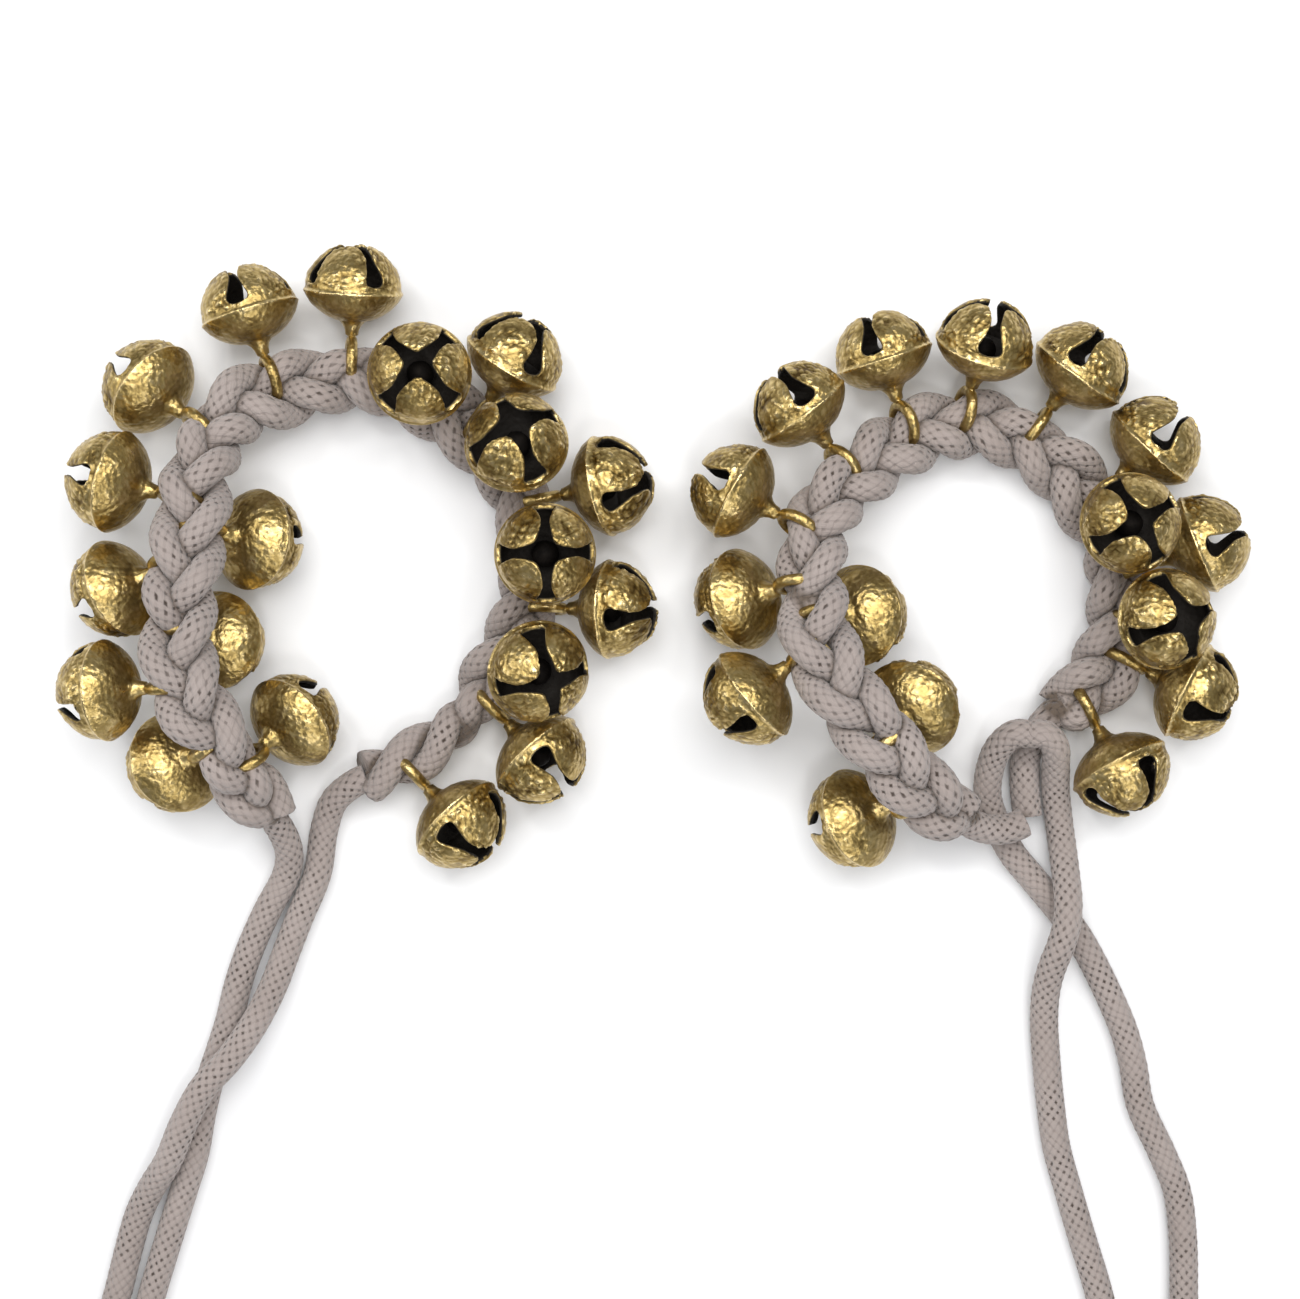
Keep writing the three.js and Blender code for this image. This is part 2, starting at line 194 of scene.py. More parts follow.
def brassMaterial():
    material, tree, shader = newMaterial("castBrass")
    relief = addNode(tree, "ShaderNodeAttribute", attribute_name="relief").outputs["Fac"]
    inside = addNode(tree, "ShaderNodeAttribute", attribute_name="inside").outputs["Fac"]
    place = addNode(tree, "ShaderNodeTexCoord").outputs["Object"]
    cloud = addNode(tree, "ShaderNodeTexNoise", [("Vector", place), ("Scale", 210.0), ("Detail", 5.0)])
    fine = addNode(tree, "ShaderNodeTexNoise", [("Vector", place), ("Scale", 1100.0), ("Detail", 3.0)])
    pebble = addNode(
        tree,
        "ShaderNodeTexVoronoi",
        [("Vector", place), ("Scale", 900.0), ("Smoothness", 0.6)],
        feature="SMOOTH_F1",
    )
    # painted highlight and shade: the relief lightens the pebble tops and darkens the hollows between them,
    # and cloud noise varies the tone at random
    tone = mathNode(tree, "MULTIPLY", relief, 0.75)
    tone = mathNode(tree, "MULTIPLY_ADD", cloud.outputs["Fac"], 0.55, tone)
    tone = mathNode(tree, "SUBTRACT", tone, 0.2)
    tone = mathNode(tree, "MULTIPLY_ADD", fine.outputs["Fac"], 0.25, tone)
    stops = [(0.16, brass["hollow"]), (0.5, brass["body"]), (0.86, brass["pebbleHighlight"])]
    colour = rampNode(tree, tone, stops)
    # painted shade: the inside faces are painted near black
    tree.links.new(mixColour(tree, inside, colour, brass["inside"]), shader.inputs["Base Color"])
    rough = mathNode(tree, "MULTIPLY_ADD", tone, -0.22, 0.46)
    rough = mathNode(tree, "MULTIPLY_ADD", inside, 0.4, rough)
    tree.links.new(rough, shader.inputs["Roughness"])
    metal = mathNode(tree, "MULTIPLY_ADD", inside, -0.8, 1.0)
    tree.links.new(metal, shader.inputs["Metallic"])
    height = mathNode(tree, "MULTIPLY_ADD", pebble.outputs["Distance"], -0.9, fine.outputs["Fac"])
    bump = addNode(tree, "ShaderNodeBump", [("Height", height), ("Strength", 0.5), ("Distance", 0.0004)])
    tree.links.new(bump.outputs[0], shader.inputs["Normal"])
    return material


def ironMaterial():
    material, tree, shader = newMaterial("ironShot")
    place = addNode(tree, "ShaderNodeTexCoord").outputs["Object"]
    cloud = addNode(tree, "ShaderNodeTexNoise", [("Vector", place), ("Scale", 700.0), ("Detail", 4.0)])
    stops = [(0.3, (0.005, 0.0036, 0.0028)), (0.7, (0.016, 0.012, 0.009))]
    tree.links.new(rampNode(tree, cloud.outputs["Fac"], stops), shader.inputs["Base Color"])
    bump = addNode(tree, "ShaderNodeBump", [("Height", cloud.outputs["Fac"]), ("Strength", 0.4)])
    bump.inputs["Distance"].default_value = 0.0003
    tree.links.new(bump.outputs[0], shader.inputs["Normal"])
    shader.inputs["Metallic"].default_value = 0.8
    shader.inputs["Roughness"].default_value = 0.7
    return material


cottonLook = cottonMaterial()
brassLook = brassMaterial()
ironLook = ironMaterial()
print("materials made")


# routes: the same smooth curve through the listed points as the solids follow
class Route:
    def __init__(self, points):
        self.points = np.array(points, float)
        first = 2 * self.points[0] - self.points[1]
        last = 2 * self.points[-1] - self.points[-2]
        self.knots = np.vstack([first, self.points, last])
        self.places = np.linspace(0, 1, 201)
        line = np.array([self.at(t) for t in self.places])
        self.run = np.concatenate([[0], np.cumsum(np.linalg.norm(np.diff(line, axis=0), axis=1))])
        self.length = self.run[-1]

    def at(self, t):
        spans = len(self.points) - 1
        i = min(int(t * spans), spans - 1)
        w = t * spans - i
        p0, p1, p2, p3 = self.knots[i : i + 4]
        d0, d1, d2 = (np.linalg.norm(b - a) ** 0.5 for a, b in ((p0, p1), (p1, p2), (p2, p3)))
        t1 = ((p1 - p0) / d0 - (p2 - p0) / (d0 + d1) + (p2 - p1) / d1) * d1
        t2 = ((p2 - p1) / d1 - (p3 - p1) / (d1 + d2) + (p3 - p2) / d2) * d1
        return p1 + t1 * w + (3 * (p2 - p1) - 2 * t1 - t2) * w**2 + (2 * (p1 - p2) + t1 + t2) * w**3

    def place(self, distance):
        return float(np.interp(distance, self.run, self.places))

    def point(self, distance):
        return self.at(self.place(distance))

    def tangent(self, distance):
        t = self.place(distance)
        step = self.at(min(t + 1e-4, 1)) - self.at(max(t - 1e-4, 0))
        return step / np.linalg.norm(step)

    def evenly(self, spacing):
        count = max(2, int(round(self.length / spacing)))
        return np.array([self.point(self.length * i / count) for i in range(count + 1)])


def evenLine(points, spacing):
    points = np.asarray(points)
    run = np.concatenate([[0], np.cumsum(np.linalg.norm(np.diff(points, axis=0), axis=1))])
    count = max(2, int(round(run[-1] / spacing)))
    steps = np.linspace(0, run[-1], count + 1)
    return np.stack([np.interp(steps, run, points[:, k]) for k in range(3)], axis=1)


# cords: a grid wrapped round its line, with the yarns' relief in the mesh
cordForm = {"diameter": 5.6 * mm, "spacing": 0.45 * mm, "round": 40}


def sleeve(line, radii, sides=cordForm["round"]):
    steps = len(line)
    tangents = np.gradient(line, axis=0)
    tangents /= np.linalg.norm(tangents, axis=1)[:, None]
    normal = up - tangents[0] * tangents[0].dot(up)
    if np.linalg.norm(normal) < 0.2:
        normal = np.cross(tangents[0], (1.0, 0.0, 0.0))
    normals = np.empty_like(line)
    for i, tangent in enumerate(tangents):
        normal = normal - tangent * normal.dot(tangent)
        normal /= np.linalg.norm(normal)
        normals[i] = normal
    sideways = np.cross(tangents, normals)
    run = np.concatenate([[0], np.cumsum(np.linalg.norm(np.diff(line, axis=0), axis=1))]) / mm

    bm = bmesh.new()
    bmesh.ops.create_grid(bm, x_segments=steps - 1, y_segments=sides, size=1)
    mesh = bpy.data.meshes.new("sleeve")
    bm.to_mesh(mesh)
    flat = np.empty(len(mesh.vertices) * 3)
    mesh.vertices.foreach_get("co", flat)
    flat = flat.reshape(-1, 3)
    row = np.rint((flat[:, 0] + 1) / 2 * (steps - 1)).astype(int)
    part = (flat[:, 1] + 1) / 2
    angle = part * math.tau
    right = cotton["yarns"] * part + run[row] / cotton["pitch"]
    left = cotton["yarns"] * part - run[row] / cotton["pitch"]
    edge = np.maximum(np.abs(2 * (right % 1) - 1), np.abs(2 * (left % 1) - 1))
    lift = cotton["relief"] * mm * (0.45 - edge**3)
    radius = np.asarray(radii)[row] + lift
    ring = np.cos(angle)[:, None] * normals[row] + np.sin(angle)[:, None] * sideways[row]
    mesh.vertices.foreach_set("co", (line[row] + ring * radius[:, None]).ravel())
    uvLayer = mesh.uv_layers.new(name="cordUv")
    corner = np.empty(len(mesh.loops), int)
    mesh.loops.foreach_get("vertex_index", corner)
    uvLayer.data.foreach_set("uv", np.stack([run[row], part], axis=1)[corner].ravel())

    bm.clear()
    bm.from_mesh(mesh)
    bmesh.ops.remove_doubles(bm, verts=bm.verts, dist=1e-6)
    rims = [e for e in bm.edges if e.is_boundary]
    bmesh.ops.holes_fill(bm, edges=rims, sides=0)
    bmesh.ops.recalc_face_normals(bm, faces=bm.faces)
    bm.to_mesh(mesh)
    bm.free()
    return mesh


def joined(name, meshes, material):
    bm = bmesh.new()
    for mesh in meshes:
        bm.from_mesh(mesh)
    whole = bpy.data.meshes.new(name)
    bm.to_mesh(whole)
    bm.free()
    for mesh in meshes:
        bpy.data.meshes.remove(mesh)
    whole.polygons.foreach_set("use_smooth", [True] * len(whole.polygons))
    whole.materials.append(material)
    piece = bpy.data.objects.new(name, whole)
    scene.collection.objects.link(piece)
    return piece


# plaits: centre lines in bell pitches (x, y, rise), and where each bell's eye sits
plaitForm = {
    "pitch": 21.2 * mm,
    "height": 5.9 * mm,
    "wide": 4.5 * mm,
    "deep": 2.75 * mm,
    "period": 33 * mm,
    "pin": 2.8 * mm,
    "strand": 2.95 * mm,
    "squeezed": 2.45 * mm,
    "creaseReach": 1.1 * mm,
    "endGap": 0.3 * mm,
    "endRun": 12 * mm,
    "endTight": 0.62,
    "twistRun": 14 * mm,
    "twistPitch": 24 * mm,
    "twistRadius": 2.55 * mm,
    "twistThin": 0.55,
    "pullRun": 4.6 * mm,
    "pinchRun": 2.2 * mm,
    "spacing": 0.45 * mm,
}
leftLoop = [
    (-3.66, -2.39, 0.33), (-3.86, -2.02, 0.69), (-4.09, -1.64, 0.91), (-4.29, -1.28, 0.99),
    (-4.39, -0.87, 1), (-4.37, -0.39, 0.96), (-4.32, 0.08, 0.88), (-4.27, 0.55, 0.76), (-4.23, 0.95, 0.6),
    (-4.09, 1.28, 0.43), (-3.85, 1.48, 0.29), (-3.53, 1.58, 0.17), (-3.2, 1.7, 0.07), (-2.87, 1.76, 0),
    (-2.43, 1.63, 0), (-1.9, 1.3, 0), (-1.45, 0.88, 0), (-1.21, 0.34, 0), (-1.19, -0.25, 0),
    (-1.32, -0.71, 0), (-1.53, -1.09, 0), (-1.81, -1.47, 0), (-2.15, -1.75, 0), (-2.47, -1.93, 0),
    (-2.77, -2.07, 0),
]
rightLoop = [
    (2.79, -2.42, 0.38), (2.5, -2.26, 0.69), (2.22, -1.98, 0.87), (1.97, -1.64, 0.95), (1.7, -1.29, 0.97),
    (1.49, -0.87, 0.94), (1.38, -0.39, 0.85), (1.39, 0.1, 0.71), (1.57, 0.52, 0.54), (1.91, 0.83, 0.36),
    (2.25, 1.07, 0.2), (2.6, 1.25, 0.08), (2.98, 1.3, 0), (3.36, 1.21, 0), (3.7, 0.99, 0), (3.99, 0.66, 0),
    (4.22, 0.32, 0), (4.36, -0.05, 0), (4.41, -0.45, 0), (4.33, -0.85, 0), (4.13, -1.16, 0),
    (3.8, -1.43, 0),
]
# bells: place along the plait in pitches, seat, swing (None lies on the table), lean, roll in degrees
leftBells = [
    (0.63, 222, 222, -13, 20), (0.96, -48, -48, -13, 50), (1.6, -17, -17, 12, 48), (2.08, 254, 254, -2, 30),
    (2.71, -31, -31, -21, 32), (3.07, 232, 232, 8, 64), (3.32, -8, -8, 11, 50), (4.03, -13, -13, 20, 48),
    (4.77, 10, 2, -4, 46), (5.53, 30, None, 5, 2), (6.22, 55, 84, 0, 54), (6.81, 30, 16, -6, 12),
    (7.42, 55, 80, -17, 62), (7.7, 15, None, 9, 0), (8.2, 55, 86, 1, 68), (8.67, 15, None, -13, 86),
    (9.14, 55, 67, 3, 20), (9.67, 30, None, 10, 58), (10.61, 15, None, -17, 88),
]
rightBells = [
    (0.6, -44, -44, -3, 30), (1.22, 236, 236, -2, 6), (2.3, -15, -15, -20, 34), (2.62, 235, 235, 2, 40),
    (2.9, -42, -42, 1, 30), (3.4, -6, -6, 14, 48), (4.08, 10, 8, -2, 52), (4.83, 15, 9, 10, 30),
    (5.38, 40, 31, 11, 52), (6.04, 20, None, 5, 50), (6.9, 17, None, -11, 70), (7.19, 62, 88, 1, 72),
    (7.62, 15, None, -10, 76), (8.03, 45, 76, 1, 6), (8.41, 15, None, 1, 4), (8.935, 20, None, 10, 38),
]


def loopRoute(loop):
    pitch = plaitForm["pitch"]
    return Route([(x * pitch, y * pitch, plaitForm["height"] + rise * pitch) for x, y, rise in loop])


leftRoute = loopRoute(leftLoop)
rightRoute = loopRoute(rightLoop)


# cord points: x and y in bell pitches, z in mm
def placed(points):
    pitch = plaitForm["pitch"] / mm
    return [(x * pitch, y * pitch, z) for x, y, z in points]


def crossAxes(tangent):
    outward = np.cross(up, tangent)
    outward /= np.linalg.norm(outward)
    return outward, np.cross(tangent, outward)


# first points, in mm, of a strand that comes straight out of a plait's end
def leadOut(route, atEnd):
    place = route.length if atEnd else 0.0
    out = route.tangent(place) * (1 if atEnd else -1)
    start = route.point(place) + out * plaitForm["endGap"]
    return [start / mm, (start + out * cordForm["diameter"] / 2) / mm]


# how deep each point of a strand lies between its neighbours, 0 in the open to 1 where they press; this
# drives painted shade in the creases
def markCreaseShade(mesh, others):
    line = np.vstack(others)
    tree = kdtree.KDTree(len(line))
    for i, point in enumerate(line):
        tree.insert(point, i)
    tree.balance()
    near = np.array([tree.find(vert.co)[2] for vert in mesh.vertices])
    values = np.clip(1 - (near - plaitForm["strand"]) / plaitForm["creaseReach"], 0, 1)
    mesh.attributes.new("creaseShade", "FLOAT", "POINT").data.foreach_set("value", values**1.5)


# strands swing from edge to edge and over each other, and each eye draws the nearest one in
def plaitStrands(route, bells, twistFrom, leads):
    form = plaitForm
    count = int(route.length / form["spacing"])
    runs = np.linspace(0, route.length, count + 1)
    centres = np.array([route.point(s) for s in runs])
    axes = [crossAxes(route.tangent(s)) for s in runs]
    outwards = np.array([a[0] for a in axes])
    upwards = np.array([a[1] for a in axes])
    ease = np.clip(np.minimum(runs, route.length - runs) / form["endRun"], 0, 1)
    ease = form["endTight"] + (1 - form["endTight"]) * ease * ease * (3 - 2 * ease)
    twist = np.clip((runs - twistFrom) / form["twistRun"], 0, 1)
    twist = twist * twist * (3 - 2 * twist)
    wides, deeps, radii = [], [], []
    for k in range(3):
        phase = math.tau * (runs / form["period"] + k / 3)
        wide = form["wide"] * np.sin(phase) * ease
        deep = form["deep"] * np.sin(2 * phase) * ease
        turn = math.tau * runs / form["twistPitch"] + (0, math.pi, 0)[k]
        twistWide = form["twistRadius"] * (1, 1, 0)[k] * np.sin(turn)
        twistDeep = form["twistRadius"] * (1, 1, 0)[k] * np.cos(turn)
        wides.append(wide * (1 - twist) + twistWide * twist)
        deeps.append(deep * (1 - twist) + twistDeep * twist)
        thin = (1, 1, form["twistThin"])[k]
        radii.append(form["strand"] * (1 - twist + thin * twist))
    for along, seat, *_ in bells:
        eyeRun = along * form["pitch"]
        i = int(np.argmin(np.abs(runs - eyeRun)))
        target = (form["pin"] * math.cos(math.radians(seat)), form["pin"] * math.sin(math.radians(seat)))
        gaps = [math.hypot(wides[k][i] - target[0], deeps[k][i] - target[1]) for k in range(3)]
        k = int(np.argmin(gaps))
        pull = np.exp(-(((runs - eyeRun) / form["pullRun"]) ** 2))
        wides[k] = wides[k] + (target[0] - wides[k][i]) * pull
        deeps[k] = deeps[k] + (target[1] - deeps[k][i]) * pull
        pinch = np.exp(-(((runs - eyeRun) / form["pinchRun"]) ** 2))
        radii[k] = radii[k] - (radii[k][i] - form["squeezed"]) * pinch
    lines, sizes = [], []
    for k in range(3):
        line = centres + outwards * wides[k][:, None] + upwards * deeps[k][:, None]
        line[:, 2] = np.maximum(line[:, 2], form["strand"] + 0.1 * mm)
        size = radii[k]
        lead = leads.get(k)
        if lead is not None:
            atStart, points = lead
            points = np.array(points) * mm
            ends = np.vstack([points[::-1], line[4:10:5]]) if atStart else np.vstack([line[-10:-4:5], points])
            extra = Route(ends).evenly(form["spacing"])
            if atStart:
                line = np.vstack([extra[:-1], line[9:]])
                size = np.concatenate([np.full(len(extra) - 1, form["strand"]), size[9:]])
            else:
                line = np.vstack([line[:-10], extra[1:]])
                size = np.concatenate([size[:-10], np.full(len(extra) - 1, form["strand"])])
        lines.append(line)
        sizes.append(size)
    meshes = [sleeve(line, size) for line, size in zip(lines, sizes)]
    for k, mesh in enumerate(meshes):
        markCreaseShade(mesh, [lines[other] for other in range(3) if other != k])
    return meshes


# loose ends of the right plait, over and under the slip loop
hookStrand = [
    (3.028, -2.537, 10.4), (3.175, -2.561, 9.6), (3.325, -2.542, 9.3), (3.443, -2.49, 9),
]
endStrand = [
    (3.585, -1.679, 4), (3.509, -1.858, 3.2), (3.491, -2.141, 3.2), (3.519, -2.452, 3.2),
]
leftPlait = joined("leftPlait", plaitStrands(leftRoute, leftBells, 9.5 * plaitForm["pitch"], {}), cottonLook)
looseEnds = {
    0: (True, [*leadOut(rightRoute, False), *placed(hookStrand)]),
    1: (False, [*leadOut(rightRoute, True), *placed(endStrand)]),
}
rightStrands = plaitStrands(rightRoute, rightBells, rightRoute.length, looseEnds)
rightPlait = joined("rightPlait", rightStrands, cottonLook)
for piece, side, ends in ((leftPlait, "left", ()), (rightPlait, "right", ("hook_strand", "end_strand"))):
    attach(piece, f"{side}_anklet")
    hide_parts(f"{side}_plait", *(f"{side}_{name}" for name in ends))
print("plaits made", len(leftPlait.data.polygons), len(rightPlait.data.polygons))

# ties: route points, then the coil that holds the spare length, in mm, and its knot
tieForm = {
    "row": -8.84,
    "coil": 30.0,
    "coilPitch": 8.2,
    "turns": 25,
    "perTurn": 24,
    "level": 3.2,
    "knot": 3.4,
    "knotCord": 2.1,
    "knotLift": 1.9,
    "meet": 0.4,
    "thread": 0.4,
    "wraps": 5,
}
coilLine = tieForm["row"] * plaitForm["pitch"] / mm
leftTieA = [
    (-3.542, -2.651, 8.1), (-3.519, -2.82, 5.8), (-3.566, -3.018, 4.2), (-3.745, -3.349, 3.3),
    (-3.92, -3.74, 3.2), (-4.033, -4.08, 3.2), (-4.108, -4.391, 3.2), (-4.203, -4.693, 3.2),
    (-4.297, -4.976, 3.2), (-4.373, -5.297, 3.2), (-4.439, -5.674, 3.2), (-4.542, -6.014, 3.2),
    (-4.637, -6.316, 3.2), (-4.741, -6.655, 3.2), (-4.844, -7, 3.2), (-4.976, -7.518, 3.2),
    (-5.047, -8.085, 3.2),
]
leftTieB = [
    (-3.099, -2.302, 4.9), (-3.203, -2.585, 3.5), (-3.269, -3, 3.2), (-3.443, -3.429, 3.2),
    (-3.561, -3.74, 3.6), (-3.684, -4.08, 5), (-3.844, -4.41, 7.4), (-4.052, -4.712, 9.2),
    (-4.307, -4.995, 9.7), (-4.486, -5.316, 9.5), (-4.656, -5.702, 7.8), (-4.844, -5.995, 5),
    (-4.976, -6.259, 3.5), (-5.08, -6.618, 3.2), (-5.175, -7, 3.2), (-5.321, -7.518, 3.2),
    (-5.401, -8.085, 3.2),
]
rightTieA = [
    (3.472, -1.651, 11.4), (3.344, -1.651, 11.1), (3.212, -1.773, 9), (3.146, -1.976, 6),
    (3.137, -2.259, 3.6), (3.231, -2.542, 3.2), (3.38, -2.816, 3.2), (3.558, -3.031, 3.2),
    (3.715, -3.22, 3.2), (3.86, -3.4, 3.2), (4.005, -3.6, 3.2), (4.162, -3.88, 3.2), (4.313, -4.195, 3.2),
    (4.44, -4.5, 3.2), (4.524, -4.806, 3.2), (4.599, -5.221, 3.2), (4.797, -5.655, 3.2),
    (4.948, -6.033, 3.2), (5.005, -6.485, 3.2), (5.014, -7, 3.2), (5.009, -7.518, 3.2), (5, -8.085, 3.2),
]
rightTieB = [
    (3.491, -1.651, 11.4), (3.613, -1.655, 11.7), (3.722, -1.764, 10.5), (3.759, -1.952, 7.2),
    (3.778, -2.188, 4.5), (3.815, -2.5, 3.8), (3.842, -2.78, 5.2), (3.855, -3.02, 7.4), (3.86, -3.25, 9.4),
    (3.842, -3.46, 9.7), (3.79, -3.67, 8.7), (3.73, -3.87, 6.7), (3.69, -4.08, 4.8), (3.677, -4.372, 3.4),
    (3.703, -4.825, 3.2), (3.741, -5.221, 3.2), (3.797, -5.618, 3.2), (3.91, -6.033, 3.2),
    (4.042, -6.485, 3.2), (4.198, -7, 3.2), (4.307, -7.518, 3.2), (4.34, -8.085, 3.2),
]


def coilPoints(entry, spin):
    form = tieForm
    points = [(entry, coilLine + cordForm["diameter"] / mm, form["level"])]
    for i in range(form["turns"] + 1):
        turned = i / form["perTurn"] * math.tau
        angle = math.pi + turned if spin > 0 else -turned
        span = form["coil"] - form["coilPitch"] * i / form["perTurn"]
        x = entry + spin * form["coil"] + span * math.cos(angle)
        points.append((x, coilLine + span * math.sin(angle), form["level"]))
    return points


def knotPiece(name, centre):
    size = tieForm["knot"] * mm
    t = np.linspace(0.15, math.tau + 0.15, 121)
    x = np.sin(t) + 2 * np.sin(2 * t)
    y = np.cos(t) - 2 * np.cos(2 * t)
    loop = np.stack([x, y, -1.6 * np.sin(3 * t)], axis=1) * size / 3
    line = evenLine(loop, cordForm["spacing"]) + centre
    return joined(name, [sleeve(line, np.full(len(line), tieForm["knotCord"] * mm))], cottonLook)


# thread wound round the coil's two neighbouring lengths, which keeps the coil together
def bandPiece(name, entry, spin):
    form = tieForm
    reach = cordForm["diameter"] / mm / 2 + 0.7 * form["thread"]
    middle = entry + spin * form["coilPitch"] / 2
    turn = np.linspace(0, form["wraps"] * math.tau, form["wraps"] * 40 + 1)
    x = middle + np.clip(1.6 * np.cos(turn), -1, 1) * form["coilPitch"] / 2 + reach * np.cos(turn)
    y = coilLine + (turn / math.tau - form["wraps"] / 2) * 1.9 * form["thread"]
    z = np.maximum(form["level"] + reach * np.sin(turn), form["thread"] - 0.2)
    line = evenLine(np.stack([x, y, z], axis=1) * mm, cordForm["spacing"])
    return joined(name, [sleeve(line, np.full(len(line), form["thread"] * mm), 12)], cottonLook)


def tiePiece(side, letter, lead, points, spin):
    points = placed(points)
    coil = coilPoints(points[-1][0], spin)
    route = Route(np.array([*lead, *points, *coil]) * mm)
    line = route.evenly(cordForm["spacing"])
    if not lead:  # half of the doubled cord, which runs on into the other half
        line = np.vstack([line[0] - route.tangent(0) * tieForm["meet"] * mm, line])
    radius = cordForm["diameter"] / 2
    tie = joined(f"{side}Tie{letter.upper()}", [sleeve(line, np.full(len(line), radius))], cottonLook)
    knot = knotPiece(f"{side}Knot{letter.upper()}", line[-1] + up * tieForm["knotLift"] * mm)
    band = bandPiece(f"{side}Band{letter.upper()}", points[-1][0], spin)
    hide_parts(f"{side}_tie_{letter}", f"{side}_coil_{letter}")
    for piece in (tie, knot, band):
        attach(piece, f"{side}_anklet")


tiePiece("left", "a", leadOut(leftRoute, False), leftTieA, 1)
tiePiece("left", "b", leadOut(leftRoute, True), leftTieB, -1)
tiePiece("right", "a", [], rightTieA, 1)
tiePiece("right", "b", [], rightTieB, -1)

# bells: one casting per bell, petal half with four slots, shank half with its eye
bellForm = {
    "reach": 13.8,
    "radius": 10.4,
    "wall": 1.1,
    "segments": 64,
    "shank": [
        (0, -6.05), (1.5, -6.02), (2.9, -5.88), (4.4, -5.45), (5.9, -4.75), (7.25, -3.85),
        (8.4, -2.85), (9.25, -1.8), (9.75, -1.0), (10.0, -0.48),
    ],
    "ridge": [(10.2, -0.2), (10.26, 0.04), (10.13, 0.3)],
    "petals": [
        (9.92, 0.55), (9.87, 1.1), (9.85, 1.7), (9.83, 1.86), (9.8, 2.12), (9.74, 2.55), (9.62, 3.1),
        (9.5, 3.7), (9.1, 4.5), (8.6, 5.3), (7.95, 6.2), (7.2, 7.05), (6.35, 7.8), (5.5, 8.45),
        (4.7, 8.95), (4.0, 9.32), (3.35, 9.58), (2.8, 9.74),
    ],
    "slotFoot": 1.72,
    "slotRise": 1.5,
    "slotWide": 2.2,
    "slotNeck": 7.4,
    "slotTip": 0.8,
    "slotTurn": 22.5,
    "tipRound": 1.35,
    "tipFrom": 7.6,
    "neck": [(0, -5.2), (3.6, -5.5), (2.6, -6.0), (1.95, -6.7), (1.55, -7.6), (1.35, -8.7), (0, -9.6)],
    "wire": 1.2,
    "eyeMiddle": 3.9,
    "floorGap": 0.4,
    "pebble": 0.42,
    "pebbleSize": 1.5,
    "pebbleSunk": 0.85,
    "rimFrom": 9.7,
    "slotVary": 0.28,
    "petalVary": 1.1,
    "smaller": 0.976,
    "seed": 5,
}
noise.seed_set(bellForm["seed"])  # the pebbles drift the same way each run
# the bells with least room to swing are the smaller ones of the string
smallerBells = {"left": (1, 3, 4, 5, 9, 10, 15, 16), "right": (6, 7, 8, 9, 12, 14)}


def slotHalf(height, widen):
    form = bellForm
    climb = (height - form["slotFoot"]) / form["slotRise"]
    wide = form["slotWide"] * widen
    if climb <= 0:
        return 0.0
    if climb < 1:
        return wide * (1 - (1 - climb) ** 2.6) ** (1 / 2.6)
    shoulder = form["slotFoot"] + form["slotRise"]
    part = min(1, (height - shoulder) / (form["slotNeck"] - shoulder))
    return wide + (form["slotTip"] * widen - wide) * part


def spinRound(bm, geom, axis, steps):
    bmesh.ops.spin(bm, geom=geom, cent=(0, 0, 0), axis=axis, angle=math.tau, steps=steps, use_merge=True)
    bmesh.ops.remove_doubles(bm, verts=bm.verts, dist=1e-4)
    bmesh.ops.recalc_face_normals(bm, faces=bm.faces)


def spunMesh(name, profile, steps):
    bm = bmesh.new()
    points = [bm.verts.new((r, 0, z)) for r, z in profile]
    edges = [bm.edges.new(pair) for pair in zip(points, points[1:])]
    spinRound(bm, points + edges, (0, 0, 1), steps)
    mesh = bpy.data.meshes.new(name)
    bm.to_mesh(mesh)
    bm.free()
    return mesh


